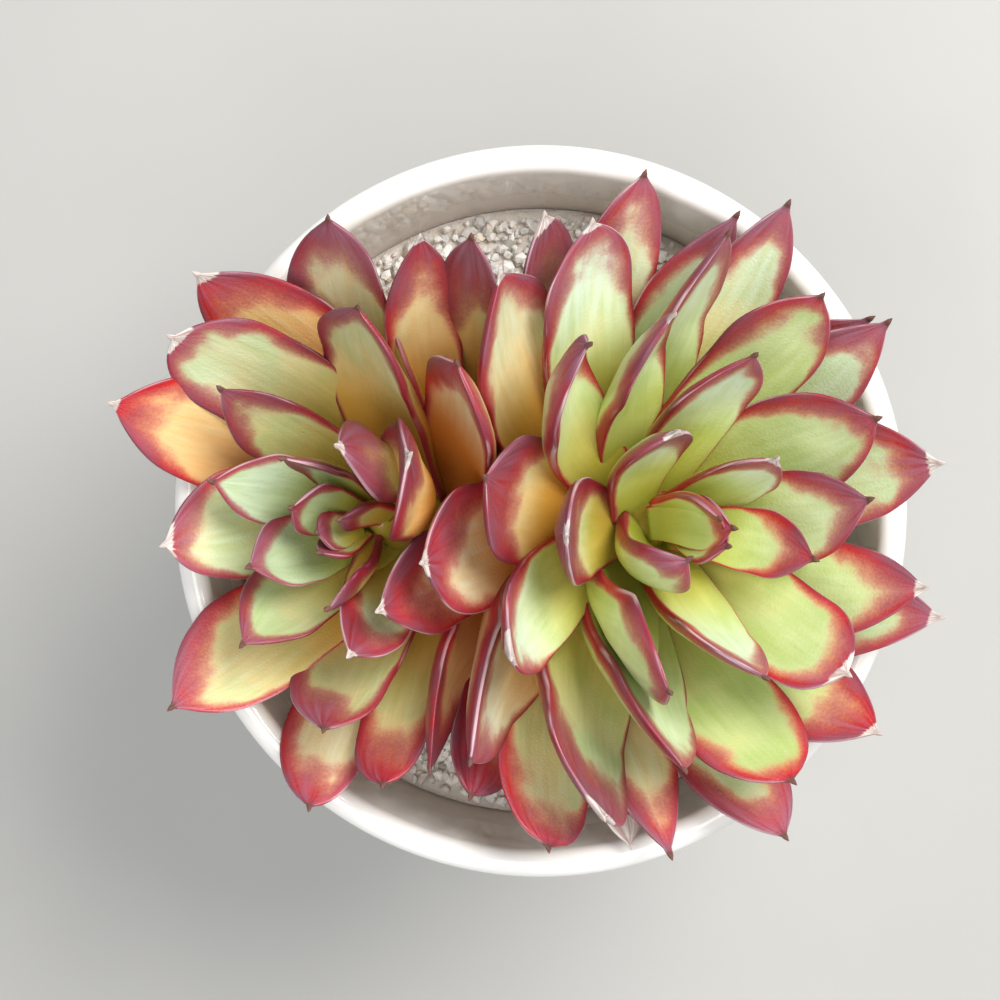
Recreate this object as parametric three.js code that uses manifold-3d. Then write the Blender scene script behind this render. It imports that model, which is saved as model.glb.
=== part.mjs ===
// A two-headed crimson-edged rosette succulent in a white glazed pot, millimetres, +Z up.
// The origin is the centre of the pot's underside; +X and +Y are right and up in a view from straight above.
import * as THREE from "three";
import { mergeVertices } from "three/addons/utils/BufferGeometryUtils.js";
import Module from "manifold-3d";

const wasm = await Module();
wasm.setup();

// Pot
const rimRadius = 50;
const potHeight = 88;
const baseRadius = 35;
const wallThickness = 4;
const floorThickness = 6;
const footRounding = 2.5;
const floorRounding = 5;
const potSides = 64;
const drainHoles = { count: 3, radius: 3.5, circle: 17, sides: 16 };

// Fill
const gap = 0.3;
const mixTop = 66;
const gritTop = 72.2;
const gritRelief = 0.9;
const gritRings = 12;
const gritSides = 52;

// Stems: the collar is where the leaves start, the bud is the growing tip
const stemBottom = 60;
const stemRadius = 4.3;
const stemSides = 12;
const stemRings = { count: 8, belowCollar: 2, middle: 0.6 };
const leafyStem = { atCollar: 6.3, atBud: 2.8, power: 0.7, budPoint: 0.4 };
const rootDepth = 1.4; // how deep a leaf's root line lies under the stem's skin
const heads = {
  right: { collar: [4, 0, 74], bud: [16.5, -2.2, 101], colour: 0xa8b85a },
  left: { collar: [-9, 0, 74], bud: [-22.5, -1.6, 100], colour: 0xb8a850 },
};
const faceAim = 75; // the upper face of a leaf turns toward a point this far up its head's axis

// Leaf form, as parts of the leaf's width or length. The rings crowd toward the tip. The outline swells from
// the root to the widest place and closes round the tip; the belly fades to the tip, and a keel fades in.
const leafForm = {
  sides: 6,
  rings: 6,
  crowding: 0.85,
  bow: 18,
  hook: 12,
  widest: 0.64,
  rootWidth: 0.62,
  rootCurve: 1.6,
  tipCurve: 1.6,
  blunt: 0.1,
  bluntCurve: 1.8,
  bluntPower: 0.35,
  tipHalf: 0.45,
  turned: 0.6,
  turnCurve: 1.5,
  belly: 0.35,
  bellyRoot: 0.75,
  bellyCurve: 2.4,
  channel: 0.09,
  channelRise: 0.04,
  keel: 0.55,
  keelStart: 0.3,
  keelEnd: 0.8,
};
const leafSection = { shoulder: 0.6, roundDepth: 0.8, keelDepth: 0.4 };

// Plan places were measured in a view from above at the rim's scale, and what stands nearer to that viewpoint
// looks further out, so a tip is drawn in toward the viewpoint by its height
const viewpoint = { x: -5.5, y: 1.5, z: potHeight + 340 };

// One leaf a line: where on the stem it grows (0 collar, 1 bud), where its tip shows in plan, the tip's
// height and the leaf's width. Where it differs from a plain leaf: roll about its length, swing (its sweep,
// clockwise positive), bow, hook (how far the tip curls in), blunt (0 pointed, 1 round) and from (the bearing
// at which it leaves the stem).
const rightLeaves = [
  { at: 0.93, tip: [26, -2.3], height: 110.5, width: 7.4, swing: -4, bow: 14, hook: 5, from: 165 },
  { at: 0.97, tip: [25.3, -4.8], height: 109.5, width: 6, swing: 6, bow: 12, hook: 5 },
  { at: 0.95, tip: [24.2, -1.1], height: 112, width: 7.5, swing: 10, bow: 16, hook: 14, from: 110 },
  { at: 0.88, tip: [37, -6.5], height: 109, width: 9, swing: -8 },
  { at: 0.84, tip: [32, 7], height: 112, width: 9, swing: 18, roll: -15 },
  { at: 0.86, tip: [20, -6.6], height: 114, width: 9.6, swing: -12, bow: 35, hook: 42, from: 178 },
  { at: 0.8, tip: [18.5, 10.6], height: 116, width: 11, hook: 10, roll: 2, from: 150 },
  { at: 0.76, tip: [30.5, -22.5], height: 113, width: 12, roll: 30 },
  { at: 0.74, tip: [3.5, -3.2], height: 118, width: 14, bow: 10, hook: 10 },
  { at: 0.72, tip: [44.5, 1.5], height: 109, width: 13, swing: 14 },
  { at: 0.7, tip: [29, 21], height: 115, width: 12, swing: 5, roll: -12 },
  { at: 0.64, tip: [17.5, -24.5], height: 117, width: 15, swing: -4, roll: 46, from: 245 },
  { at: 0.66, tip: [41.5, -22], height: 107, width: 14, swing: -6, blunt: 0.9 },
  { at: 0.6, tip: [-4, -20], height: 120, width: 14, hook: 22, roll: 10 },
  { at: 0.6, tip: [6.5, 22.5], height: 119, width: 14, swing: -14, hook: 30, roll: -32 },
  { at: 0.6, tip: [-7.5, 4.5], height: 117, width: 17, swing: -10, hook: 10 },
  { at: 0.5, tip: [19.5, -35], height: 112, width: 17, swing: -4, roll: 28, from: 260 },
  { at: 0.56, tip: [45.5, 12.5], height: 107, width: 15, swing: 2, blunt: 0.4 },
  { at: 0.55, tip: [18, 26.5], height: 115, width: 13, hook: 20, roll: -38 },
  { at: 0.54, tip: [38, 29], height: 109, width: 14, swing: 8, blunt: 0.6 },
  { at: 0.45, tip: [52, -10.5], height: 102, width: 14, swing: 18, blunt: 0.25 },
  { at: 0.42, tip: [34, -36.5], height: 103, width: 16, swing: 4, blunt: 0.9 },
  { at: 0.42, tip: [-16, -7], height: 114, width: 17, blunt: 0.3 },
  { at: 0.38, tip: [8.5, -41.5], height: 109, width: 19, hook: 25, roll: 26, blunt: 0.9 },
  { at: 0.36, tip: [-9.5, -34], height: 111, width: 19, roll: 38 },
  { at: 0.36, tip: [54, 6.5], height: 101, width: 16, swing: -3, blunt: 0.25 },
  { at: 0.34, tip: [7, 39], height: 105, width: 16, swing: 3, roll: -14, blunt: 0.6 },
  { at: 0.34, tip: [25.5, 37.5], height: 107, width: 14, swing: 8, roll: -38 },
  { at: 0.34, tip: [47, 25.5], height: 101, width: 13, swing: 14, blunt: 0.2 },
  { at: 0.32, tip: [-5.5, 32], height: 111, width: 19, swing: -5, roll: -22 },
  { at: 0.3, tip: [33.5, 41.5], height: 102, width: 12, swing: 12, blunt: 0.3 },
  { at: 0.26, tip: [45.5, -30], height: 98, width: 15, swing: 8, blunt: 0.5 },
  { at: 0.24, tip: [54, -14.5], height: 96, width: 14, swing: 16, blunt: 0.25 },
  { at: 0.24, tip: [-22, -13.5], height: 112, width: 13.5 },
  { at: 0.2, tip: [33, -44], height: 97, width: 14, blunt: 0.6 },
  { at: 0.2, tip: [1, -45.5], height: 100, width: 14, swing: 6, blunt: 1.3 },
  { at: 0.16, tip: [17.5, -46.5], height: 96, width: 12 },
  { at: 0.16, tip: [0.5, 40], height: 104, width: 14, swing: 2, roll: -25, blunt: 0.5 },
  { at: 0.16, tip: [44.5, 26], height: 95, width: 12 },
  { at: 0.14, tip: [14, 45.5], height: 98, width: 12, blunt: 0.5 },
  { at: 0.14, tip: [-15, -35], height: 104, width: 14, swing: 16, roll: 38 },
  { at: 0.12, tip: [26.5, 40], height: 96, width: 12 },
  { at: 0.12, tip: [-9.5, -38.5], height: 95, width: 12, blunt: 1 },
  { at: 0.1, tip: [12, -45], height: 91, width: 8, blunt: 1 },
  { at: 0.3, tip: [-5, 16], height: 92, width: 14 },
];
const leftLeaves = [
  { at: 1, tip: [-30.3, -2.9], height: 108, width: 5.5, bow: 10 },
  { at: 0.96, tip: [-33.8, 0.4], height: 108, width: 8, bow: 10 },
  { at: 0.98, tip: [-30, -5.6], height: 107, width: 5, bow: 10 },
  { at: 0.92, tip: [-27.2, -1.2], height: 108.5, width: 5, bow: 12, hook: 2, from: 20 },
  { at: 0.9, tip: [-35, 7], height: 109, width: 6, swing: 4, roll: 30 },
  { at: 0.86, tip: [-18, 7.5], height: 116, width: 16, bow: -2, hook: -24, roll: 34, from: 70 },
  { at: 0.84, tip: [-27.6, 8.8], height: 115, width: 11.5, hook: 10, roll: 45, from: 60 },
  { at: 0.9, tip: [-29, -13.2], height: 111, width: 5.5, roll: -40, from: 215 },
  { at: 0.76, tip: [-44.5, 4], height: 105, width: 10 },
  { at: 0.8, tip: [-39.5, -7.5], height: 107, width: 10, swing: 6 },
  { at: 0.68, tip: [-40.5, -18], height: 105, width: 12, swing: 18 },
  { at: 0.66, tip: [-26, -19.5], height: 110, width: 10, roll: 60 },
  { at: 0.6, tip: [-25, 27.5], height: 113, width: 16.5, swing: -24, roll: 20, blunt: 0.2 },
  { at: 0.56, tip: [-43.5, 16.5], height: 106, width: 11, swing: -14, roll: 5 },
  { at: 0.52, tip: [-51, -4.5], height: 101, width: 15, swing: 14, blunt: 0.5 },
  { at: 0.48, tip: [-50, -26.5], height: 100, width: 16, swing: 8, blunt: 0.3 },
  { at: 0.48, tip: [-50, 23.5], height: 103, width: 16, swing: 6, blunt: 0.9 },
  { at: 0.5, tip: [-11.5, 20], height: 117, width: 15, swing: 6, hook: 5, roll: 10 },
  { at: 0.42, tip: [-29.5, -29.5], height: 104, width: 15, swing: 20, blunt: 0.7 },
  { at: 0.4, tip: [-29, 39.5], height: 104, width: 16, swing: -26, roll: 8, blunt: 0.6 },
  { at: 0.3, tip: [-16.5, 37], height: 106, width: 11, swing: -16, roll: -60, blunt: 0.3 },
  { at: 0.28, tip: [-58, 14.5], height: 101, width: 16, bow: 8, blunt: 0.35 },
  { at: 0.28, tip: [-21.5, -37], height: 102, width: 11, swing: 14, blunt: 1.3 },
  { at: 0.26, tip: [-46.5, 32], height: 99, width: 16, swing: 6, bow: 12, blunt: 0.4 },
  { at: 0.24, tip: [-31.5, -40], height: 97, width: 13.5, swing: 24, blunt: 1 },
  { at: 0.2, tip: [-9.5, 37], height: 105, width: 10, swing: -6, blunt: 0.5 },
];

const radians = THREE.MathUtils.degToRad;
const lerp = THREE.MathUtils.lerp;
const clamp = THREE.MathUtils.clamp;
const vector = (place) => new THREE.Vector3(...place);

function signedVolume(positions, corners) {
  const [a, b, c] = [new THREE.Vector3(), new THREE.Vector3(), new THREE.Vector3()];
  let sum = 0;
  for (let i = 0; i < corners.length; i += 3) {
    a.fromArray(positions, corners[i] * 3);
    b.fromArray(positions, corners[i + 1] * 3);
    c.fromArray(positions, corners[i + 2] * 3);
    sum += a.dot(b.cross(c)) / 6;
  }
  return sum;
}

// A closed geometry as a solid: doubles merged, empty triangles dropped, faces pointing out
function solid(geometry) {
  geometry.deleteAttribute("normal");
  geometry.deleteAttribute("uv");
  const merged = mergeVertices(geometry, 1e-4);
  const index = merged.index.array;
  const corners = [];
  for (let i = 0; i < index.length; i += 3) {
    const [a, b, c] = index.slice(i, i + 3);
    if (a !== b && b !== c && c !== a) corners.push(a, b, c);
  }
  const vertProperties = merged.attributes.position.array;
  const triVerts = new Uint32Array(corners);
  if (signedVolume(vertProperties, triVerts) < 0) triVerts.reverse();
  return new wasm.Manifold(new wasm.Mesh({ numProp: 3, vertProperties, triVerts }));
}

// The largest connected shell of a solid: loose scraps are dropped and sealed hollows are filled
function largestShell(body) {
  const { vertProperties, triVerts } = body.getMesh();
  const parent = Array.from({ length: vertProperties.length / 3 }, (_, i) => i);
  const find = (i) => {
    while (parent[i] !== i) {
      parent[i] = parent[parent[i]];
      i = parent[i];
    }
    return i;
  };
  for (let i = 0; i < triVerts.length; i += 3) {
    parent[find(triVerts[i])] = find(triVerts[i + 1]);
    parent[find(triVerts[i + 1])] = find(triVerts[i + 2]);
  }
  const shells = new Map();
  for (let i = 0; i < triVerts.length; i += 3) {
    const key = find(triVerts[i]);
    if (!shells.has(key)) shells.set(key, []);
    shells.get(key).push(triVerts[i], triVerts[i + 1], triVerts[i + 2]);
  }
  const sized = [...shells.values()].map((corners) => [signedVolume(vertProperties, corners), corners]);
  const [, corners] = sized.reduce((best, next) => (next[0] > best[0] ? next : best));
  return { vertProperties, triVerts: new Uint32Array(corners) };
}

function meshOf(name, body, { colour, roughness }) {
  const { vertProperties, triVerts } = largestShell(body);
  const geometry = new THREE.BufferGeometry();
  geometry.setAttribute("position", new THREE.BufferAttribute(new Float32Array(vertProperties), 3));
  geometry.setIndex(new THREE.BufferAttribute(triVerts, 1));
  geometry.computeVertexNormals();
  const material = new THREE.MeshStandardMaterial({ color: colour, roughness, metalness: 0 });
  const mesh = new THREE.Mesh(geometry, material);
  mesh.name = name;
  return mesh;
}

// A round body from its half section in the XZ plane, turned about Z
function turned(points, sides) {
  const geometry = new THREE.LatheGeometry(points, sides);
  geometry.rotateX(Math.PI / 2);
  return geometry;
}

// The pot leans outward by this angle from its foot to the lip
const lip = wallThickness / 2;
const taper = Math.atan2(rimRadius - baseRadius, potHeight - lip - footRounding);
const innerRadius = (z) => rimRadius - wallThickness - (potHeight - lip - z) * Math.tan(taper);

function makePot() {
  const floorEdge = innerRadius(floorThickness + floorRounding) - floorRounding;
  const section = new THREE.Path();
  section.moveTo(0, 0);
  section.lineTo(baseRadius - footRounding, 0);
  section.absarc(baseRadius - footRounding, footRounding, footRounding, -Math.PI / 2, -taper, false);
  section.absarc(rimRadius - lip, potHeight - lip, lip, -taper, Math.PI - taper, false);
  section.absarc(floorEdge, floorThickness + floorRounding, floorRounding, -taper, -Math.PI / 2, true);
  section.lineTo(0, floorThickness);
  let pot = solid(turned(section.getPoints(2), potSides));
  const { count, radius, circle, sides } = drainHoles;
  for (let i = 0; i < count; i += 1) {
    const angle = ((i + 0.5) / count) * 2 * Math.PI;
    const hole = new THREE.CylinderGeometry(radius, radius, floorThickness * 3, sides);
    hole.rotateX(Math.PI / 2);
    hole.translate(circle * Math.cos(angle), circle * Math.sin(angle), 0);
    pot = pot.subtract(solid(hole));
  }
  return pot;
}

// Plain upright holes for the stems, open at the top
function cutStemHoles(body) {
  for (const { collar } of Object.values(heads)) {
    const depth = potHeight - stemBottom + gap;
    const hole = new THREE.CylinderGeometry(stemRadius + gap, stemRadius + gap, depth, stemSides);
    hole.rotateX(Math.PI / 2);
    hole.translate(collar[0], collar[1], potHeight - depth / 2);
    body = body.subtract(solid(hole));
  }
  return body;
}

function makeMix() {
  const bottom = floorThickness + gap;
  const shoulder = floorThickness + floorRounding;
  const section = [
    new THREE.Vector2(0, bottom),
    new THREE.Vector2(innerRadius(shoulder) - floorRounding - gap, bottom),
    new THREE.Vector2(innerRadius(shoulder) - gap * 2, shoulder),
    new THREE.Vector2(innerRadius(mixTop) - gap, mixTop),
    new THREE.Vector2(0, mixTop),
  ];
  return cutStemHoles(solid(turned(section, gritSides)));
}

// A repeatable draw between -1 and 1 for a grain
function grain(ring, side) {
  const wave = Math.sin(ring * 127.1 + side * 311.7) * 43758.5453;
  return 2 * (wave - Math.floor(wave)) - 1;
}

// Top dressing: a disc whose top is raised and sunk grain by grain
function makeGrit() {
  const bottom = mixTop + gap;
  const edge = innerRadius(bottom) - gap;
  const section = [new THREE.Vector2(0, bottom), new THREE.Vector2(edge, bottom)];
  for (let ring = gritRings; ring >= 0; ring -= 1) {
    section.push(new THREE.Vector2((edge * ring) / gritRings, gritTop));
  }
  const geometry = turned(section, gritSides);
  const places = geometry.attributes.position;
  for (let i = 0; i < places.count; i += 1) {
    const [x, y, z] = [places.getX(i), places.getY(i), places.getZ(i)];
    const ring = Math.round((Math.hypot(x, y) / edge) * gritRings);
    const side = Math.round((Math.atan2(y, x) / (2 * Math.PI)) * gritSides + gritSides) % gritSides;
    if (z < gritTop - 0.01 || ring === 0) continue;
    places.setZ(i, gritTop + gritRelief * grain(ring, side));
  }
  return cutStemHoles(solid(geometry));
}

function axisOf({ collar, bud }) {
  const start = vector(collar);
  const rise = vector(bud).sub(start);
  return { start, rise, along: rise.clone().normalize() };
}

// The leafy part of the stem narrows from the collar to the bud
function stemWidth(at) {
  const { atCollar, atBud, power } = leafyStem;
  return atBud + (atCollar - atBud) * (1 - at) ** power;
}

// The stem: a cylinder carried up from its foot in the mix, then along the head's axis to the bud
function makeStem(head) {
  const { start, rise } = axisOf(head);
  const { count, belowCollar, middle } = stemRings;
  const stem = new THREE.CylinderGeometry(1, 1, 1, stemSides, count);
  const places = stem.attributes.position;
  const place = new THREE.Vector3();
  for (let i = 0; i < places.count; i += 1) {
    place.fromBufferAttribute(places, i);
    const ring = Math.round((place.y + 0.5) * count);
    const at = (ring - belowCollar) / (count - belowCollar);
    const radius = at <= 0 ? stemRadius : stemWidth(at) * (at === 1 ? leafyStem.budPoint : 1);
    const centre = start.clone();
    if (at > 0) centre.addScaledVector(rise, at);
    if (ring === 0) centre.z = stemBottom;
    if (ring === 1) centre.z = lerp(stemBottom, start.z, middle);
    places.setXYZ(i, centre.x + place.x * radius, centre.y - place.z * radius, centre.z);
  }
  return solid(stem);
}

// A tip's real place: on the line from the viewpoint through its plan place at the rim, at its own height
function fromPlan([x, y], z) {
  const nearer = (viewpoint.z - z) / (viewpoint.z - potHeight);
  return new THREE.Vector3(lerp(viewpoint.x, x, nearer), lerp(viewpoint.y, y, nearer), z);
}

// Where a leaf leaves its stem: just inside the stem's skin, on the side that it grows toward
function rootOf(leaf, head, tip) {
  const { start, rise, along } = axisOf(head);
  const centre = start.clone().addScaledVector(rise, leaf.at);
  const away = tip.clone().sub(centre).setZ(0);
  if (leaf.from !== undefined) away.set(Math.cos(radians(leaf.from)), Math.sin(radians(leaf.from)), 0);
  away.addScaledVector(along, -away.dot(along)).normalize();
  return centre.addScaledVector(away, stemWidth(leaf.at) - rootDepth);
}

// Half the width at t along a leaf, as a part of the full half width
function outline(t, blunt) {
  const { widest, rootWidth, rootCurve, tipCurve, bluntCurve, bluntPower } = leafForm;
  if (t < widest) return rootWidth + (1 - rootWidth) * Math.sin((Math.PI / 2) * (t / widest)) ** rootCurve;
  const u = (t - widest) / (1 - widest);
  return (1 - u ** (tipCurve + bluntCurve * blunt)) ** (1 - bluntPower * blunt);
}

// A leaf: a cylinder carried along a bowed line from root to tip. Its section is a shallow channel above two
// sharp margins and a keel below.
function makeLeaf(leaf, head) {
  const { roll = 0, swing = 0, bow = leafForm.bow, hook = leafForm.hook, blunt = leafForm.blunt } = leaf;
  const { start, along } = axisOf(head);
  const tip = fromPlan(leaf.tip, leaf.height);
  const root = rootOf(leaf, head, tip);
  const length = root.distanceTo(tip);
  const forward = tip.clone().sub(root).divideScalar(length);
  const face = start.clone().addScaledVector(along, faceAim);
  face.sub(root.clone().add(tip).multiplyScalar(0.5));
  face.addScaledVector(forward, -face.dot(forward)).normalize();
  const across = forward.clone().cross(face);
  const third = length / 3;
  const sweep = across.clone().multiplyScalar(third * Math.tan(radians(swing)));
  const leave = root.clone().add(sweep);
  leave.addScaledVector(forward, third * Math.cos(radians(bow)));
  leave.addScaledVector(face, -third * Math.sin(radians(bow)));
  const arrive = tip.clone().add(sweep);
  arrive.addScaledVector(forward, -third * Math.cos(radians(hook)));
  arrive.addScaledVector(face, -third * Math.sin(radians(hook)));
  const line = new THREE.CubicBezierCurve3(root, leave, arrive, tip);

  const form = leafForm;
  const { sides } = form;
  const { shoulder, roundDepth, keelDepth } = leafSection;
  const body = new THREE.CylinderGeometry(1, 1, 1, sides, form.rings);
  const places = body.attributes.position;
  const local = new THREE.Vector3();
  for (let i = 0; i < places.count; i += 1) {
    local.fromBufferAttribute(places, i);
    const t = (local.y + 0.5) ** form.crowding;
    const side = Math.round((Math.atan2(local.x, local.z) / (2 * Math.PI)) * sides + sides) % sides;
    const half = Math.max((leaf.width / 2) * outline(t, blunt), form.tipHalf);
    const swell = (1 - t ** form.bellyCurve) * Math.min(1, form.bellyRoot + t);
    const deep = Math.max(leaf.width * form.belly * swell, form.tipHalf);
    const dip = leaf.width * form.channel * Math.sin(Math.PI * t) - form.channelRise * half;
    const keel = form.keel * clamp((t - form.keelStart) / (form.keelEnd - form.keelStart), 0, 1);
    const lower = deep * lerp(roundDepth, keelDepth, keel);
    const section = [[0, -dip], [1, 0], [shoulder, -lower], [0, -deep], [-shoulder, -lower], [-1, 0]];
    const middle = Math.hypot(local.x, local.z) < 0.5;
    const [sideways, raise] = middle ? [0, (-dip - deep) / 2] : section[side];
    const turn = radians(roll) * Math.min(1, t / form.turned) ** form.turnCurve;
    const tangent = line.getTangent(t);
    const normal = across.clone().cross(tangent);
    const wide = across.clone().multiplyScalar(Math.cos(turn)).addScaledVector(normal, Math.sin(turn));
    const up = normal.clone().multiplyScalar(Math.cos(turn)).addScaledVector(across, -Math.sin(turn));
    const place = line.getPoint(t);
    place.addScaledVector(wide, sideways * half).addScaledVector(up, raise);
    places.setXYZ(i, place.x, place.y, place.z);
  }
  return solid(body);
}

function makeHead(head, leaves) {
  return leaves.reduce((plant, leaf) => plant.add(makeLeaf(leaf, head)), makeStem(head));
}

const group = new THREE.Group();
group.add(meshOf("pot", makePot(), { colour: 0xf4f2ee, roughness: 0.12 }));
group.add(meshOf("potting_mix", makeMix(), { colour: 0x4a3a2c, roughness: 0.95 }));
group.add(meshOf("top_grit", makeGrit(), { colour: 0xc9c3bb, roughness: 0.9 }));
const right = makeHead(heads.right, rightLeaves);
const left = makeHead(heads.left, leftLeaves);
group.add(meshOf("right_head", right, { colour: heads.right.colour, roughness: 0.4 }));
group.add(meshOf("left_head", left, { colour: heads.left.colour, roughness: 0.4 }));

export default group;
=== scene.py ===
import math

import bpy
import numpy as np
from mathutils import Matrix, Vector


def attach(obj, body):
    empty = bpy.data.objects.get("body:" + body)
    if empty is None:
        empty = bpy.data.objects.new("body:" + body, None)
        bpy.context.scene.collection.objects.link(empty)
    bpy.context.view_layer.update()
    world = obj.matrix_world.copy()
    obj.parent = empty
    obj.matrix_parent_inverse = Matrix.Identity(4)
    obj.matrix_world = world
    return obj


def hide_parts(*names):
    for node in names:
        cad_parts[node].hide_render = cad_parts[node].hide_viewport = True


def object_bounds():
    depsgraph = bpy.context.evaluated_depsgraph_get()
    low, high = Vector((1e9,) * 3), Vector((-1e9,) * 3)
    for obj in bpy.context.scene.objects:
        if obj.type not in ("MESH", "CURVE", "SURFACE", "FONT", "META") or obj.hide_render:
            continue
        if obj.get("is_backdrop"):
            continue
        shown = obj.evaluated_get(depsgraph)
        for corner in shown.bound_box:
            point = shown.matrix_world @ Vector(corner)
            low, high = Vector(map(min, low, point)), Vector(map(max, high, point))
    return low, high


# Potted two-headed rosette succulent with crimson margins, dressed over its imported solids. Metres, +Z up.
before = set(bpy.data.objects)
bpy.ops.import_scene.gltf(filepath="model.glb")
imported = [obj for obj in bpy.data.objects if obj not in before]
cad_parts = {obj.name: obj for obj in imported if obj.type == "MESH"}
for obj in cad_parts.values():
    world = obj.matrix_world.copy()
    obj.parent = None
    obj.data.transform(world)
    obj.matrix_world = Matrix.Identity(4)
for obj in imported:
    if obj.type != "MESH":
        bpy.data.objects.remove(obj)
cadBox = [list(corner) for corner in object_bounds()]
print("frame loaded", sorted(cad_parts))

mm = 0.001
fullTurn = 2 * math.pi


# A dictionary whose values are also read by a dot
class Values(dict):
    __getattr__ = dict.__getitem__


# Camera, straight above as in the photograph
cameraSetup = Values(
    place=(-5.57, 1.5, 428),  # mm
    lens=90.1,
    sensor=36,
    nearest=0.01,  # m
)
cameraData = bpy.data.cameras.new("camera")
cameraData.lens = cameraSetup.lens
cameraData.sensor_width = cameraSetup.sensor
cameraData.clip_start = cameraSetup.nearest
camera = bpy.data.objects.new("camera", cameraData)
camera.location = [value * mm for value in cameraSetup.place]
bpy.context.scene.collection.objects.link(camera)
bpy.context.scene.camera = camera


# An operator of a wire, or its reflected form, so that 1 - mask works
def operator(kind, reflected=False):
    if reflected:
        return lambda self, other: self.math(kind, other, self)
    return lambda self, other: self.math(kind, self, other)


# A socket that takes part in arithmetic
class Wire:
    __add__ = operator("ADD")
    __radd__ = operator("ADD", True)
    __sub__ = operator("SUBTRACT")
    __rsub__ = operator("SUBTRACT", True)
    __mul__ = operator("MULTIPLY")
    __rmul__ = operator("MULTIPLY", True)
    __truediv__ = operator("DIVIDE")
    __pow__ = operator("POWER")
    higher = operator("MAXIMUM")
    lower = operator("MINIMUM")

    def __init__(self, paint, socket):
        self.paint = paint
        self.socket = socket

    def math(self, operation, *values):
        return self.paint.node("ShaderNodeMath", {"operation": operation}, dict(enumerate(values)))

    # 0 below the first value, 1 above the second, smooth between
    def step(self, start, end):
        inputs = {"Value": self, "From Min": start, "From Max": end}
        return self.paint.node("ShaderNodeMapRange", {"interpolation_type": "SMOOTHSTEP"}, inputs)


# A colour as seen on a screen, 0 to 255, as linear light by the sRGB curve
def tint(red, green, blue):
    seen = np.array((red, green, blue)) / 255
    linear = np.where(seen < 0.04045, seen / 12.92, ((seen + 0.055) / 1.055) ** 2.4)
    return tuple(float(value) for value in linear)


# A material whose nodes end in one shader
class Paint:
    def __init__(self, name):
        self.material = bpy.data.materials.new(name)
        self.material.use_nodes = True
        self.tree = self.material.node_tree
        self.tree.nodes.clear()
        self.shader = self.tree.nodes.new("ShaderNodeBsdfPrincipled")
        output = self.tree.nodes.new("ShaderNodeOutputMaterial")
        self.tree.links.new(self.shader.outputs["BSDF"], output.inputs["Surface"])

    # Any node: type, settings, inputs by name or number, wanted output
    def node(self, kind, settings, inputs, output=0):
        made = self.tree.nodes.new(kind)
        for key, value in settings.items():
            setattr(made, key, value)
        for key, value in inputs.items():
            self.feed(made.inputs[key], value)
        return Wire(self, made.outputs[output])

    # Links a wire to a socket, or sets a number or a colour on it
    def feed(self, socket, value):
        if isinstance(value, Wire):
            self.tree.links.new(value.socket, socket)
        elif socket.type == "RGBA":
            socket.default_value = (*tint(*value), 1)
        else:
            socket.default_value = value

    # Two colours mixed: this node's inputs 6 and 7, and its output 2
    def mix(self, factor, first, second):
        inputs = {0: factor, 6: first, 7: second}
        return self.node("ShaderNodeMix", {"data_type": "RGBA"}, inputs, 2)

    def place(self):
        return self.node("ShaderNodeTexCoord", {}, {}, "Object")

    # The three numbers of a vector
    def split(self, vector):
        first = self.node("ShaderNodeSeparateXYZ", {}, {0: vector})
        return [Wire(self, output) for output in first.socket.node.outputs]

    # Noise stretched along a vector in mm
    def streaks(self, vector, stretch, detail=2):
        drawn = self.node("ShaderNodeVectorMath", {"operation": "MULTIPLY"}, {0: vector, 1: stretch})
        return self.node("ShaderNodeTexNoise", {}, {"Vector": drawn, "Scale": 1.0, "Detail": detail})

    # Noise with grains of about this size in mm, 0 to 1
    def noise(self, size, detail=2):
        inputs = {"Vector": self.place(), "Scale": 1 / mm / size, "Detail": detail}
        return self.node("ShaderNodeTexNoise", {}, inputs)

    # Two colours in clouds of this size
    def clouds(self, first, second, size, detail):
        return self.mix(self.noise(size, detail), first, second)

    # Another colour in spots, where noise rises through the span
    def spots(self, colour, top, size, span, share=1):
        return self.mix(self.noise(size).step(*span) * share, colour, top)

    # The least value, and noise of this size over it
    def rough(self, least, spread, size):
        return least + self.noise(size) * spread

    # What a mesh stores on its points under this name
    def value(self, name, output="Fac"):
        return self.node("ShaderNodeAttribute", {"attribute_name": name}, {}, output)

    # Relief of this many mm where the height goes from 0 to 1
    def bump(self, height, distance, strength=1.0):
        inputs = {"Height": height, "Distance": distance * mm, "Strength": strength}
        return self.node("ShaderNodeBump", {}, inputs)

    # Relief by noise of this size
    def lumps(self, size, detail, distance, strength=1.0):
        return self.bump(self.noise(size, detail), distance, strength)

    # Feeds the shader's sockets, named with underscores for spaces
    def finish(self, **sockets):
        for name, value in sockets.items():
            self.feed(self.shader.inputs[name.replace("_", " ")], value)
        return self.material


# Patterns added up, each times its share, then the shares that are left over
def blend(shares, *patterns):
    total = patterns[0] * shares[0]
    for pattern, share in zip(patterns[1:], shares[1:]):
        total = total + pattern * share
    for share in shares[len(patterns):]:
        total = total + share
    return total


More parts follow.
